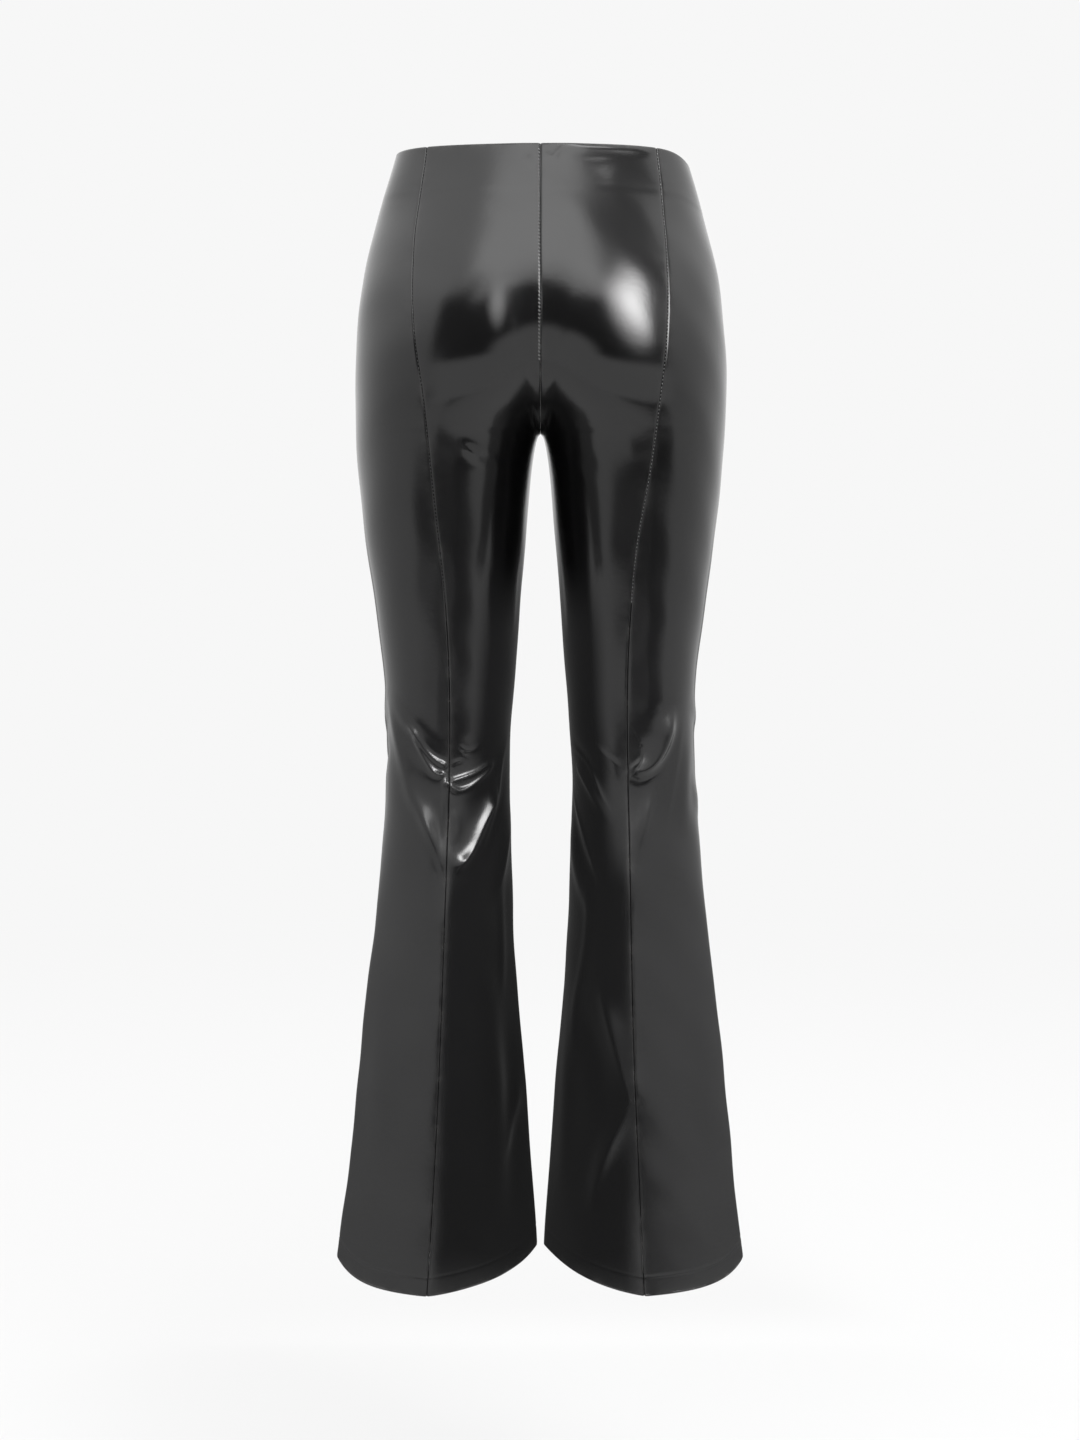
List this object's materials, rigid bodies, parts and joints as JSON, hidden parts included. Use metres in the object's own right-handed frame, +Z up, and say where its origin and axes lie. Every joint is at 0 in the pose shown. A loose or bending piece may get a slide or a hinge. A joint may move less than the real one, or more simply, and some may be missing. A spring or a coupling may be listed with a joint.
{
  "type": "leather trousers",
  "caption": "High-waisted flared trousers of glossy coated leather, with a princess seam down the back of each leg, standing hollow in the shape they are worn in.",
  "frame": {"origin": "Middle of the waist opening, level with the waist edge at the left side seam, where the wearer's waist holds the trousers.", "axes": "+Z is up, -Y is the wearer's front and +X is the wearer's left."},
  "size_m": [0.3817, 0.2387, 1.057],
  "materials": {
    "leather": "high gloss, coated"
  },
  "bodies": {
    "root": {"front_left": "leather", "back_side_left": "leather", "back_centre_left": "leather", "front_right": "leather", "back_side_right": "leather", "back_centre_right": "leather"}
  },
  "joints": []
}
